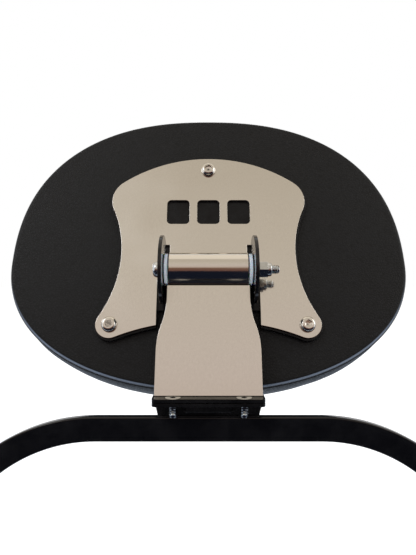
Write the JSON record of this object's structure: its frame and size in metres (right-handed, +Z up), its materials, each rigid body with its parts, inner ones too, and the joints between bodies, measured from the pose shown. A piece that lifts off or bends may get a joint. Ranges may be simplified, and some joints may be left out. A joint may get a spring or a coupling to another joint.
{
  "type": "motorcycle rider backrest",
  "caption": "Oval padded backrest on stacked steel plates, hinged by a through bolt to a flared flat arm on a flat-bar hoop with fixing lugs.",
  "frame": {"origin": "middle of the backrest's box in plan, level with the lower ends of the two fixing lugs", "axes": "+Z up; +X to the right seen from behind the backrest; the back of the pad, with the steel plates, faces -Y and the rider sits on the +Y side"},
  "size_m": [0.3112, 0.151, 0.3842],
  "materials": {
    "black_paint": "satin black powder coat",
    "polished_steel": "mirror polished stainless steel",
    "zinc": "bright zinc plate",
    "nylon": "natural nylon",
    "leatherette": "fine-grained black leatherette",
    "plywood": "bare plywood",
    "foam": "polyurethane foam"
  },
  "bodies": {
    "frame": {"hoop": "black_paint", "hoop_bracket": "black_paint", "centre_gusset": "black_paint", "foot_plate": "black_paint", "arm": "polished_steel", "hinge_barrel": "polished_steel", "left_bush": "nylon", "right_bush": "nylon", "left_bracket_screw": "zinc", "right_bracket_screw": "zinc", "left_lug": "black_paint", "right_lug": "black_paint"},
    "pad": {"cover_plate": "polished_steel", "base_plate": "black_paint", "left_ear": "black_paint", "right_ear": "black_paint", "hinge_bolt": "zinc", "bolt_washer": "zinc", "nut_washer": "zinc", "lock_nut": "zinc", "back_panel": "leatherette", "pad_board": "plywood", "pad_foam": "foam", "pad_cover": "leatherette", "top_pad_screw": "polished_steel", "left_pad_screw": "polished_steel", "right_pad_screw": "polished_steel", "top_tee_nut": "zinc", "left_tee_nut": "zinc", "right_tee_nut": "zinc"}
  },
  "joints": [
    {"name": "pad_tilt", "type": "hinge", "parent": "frame", "child": "pad", "pos_m": [0, -0.0381, 0.2666], "axis": [1, 0, 0], "range_deg": [-7, 110]}
  ]
}
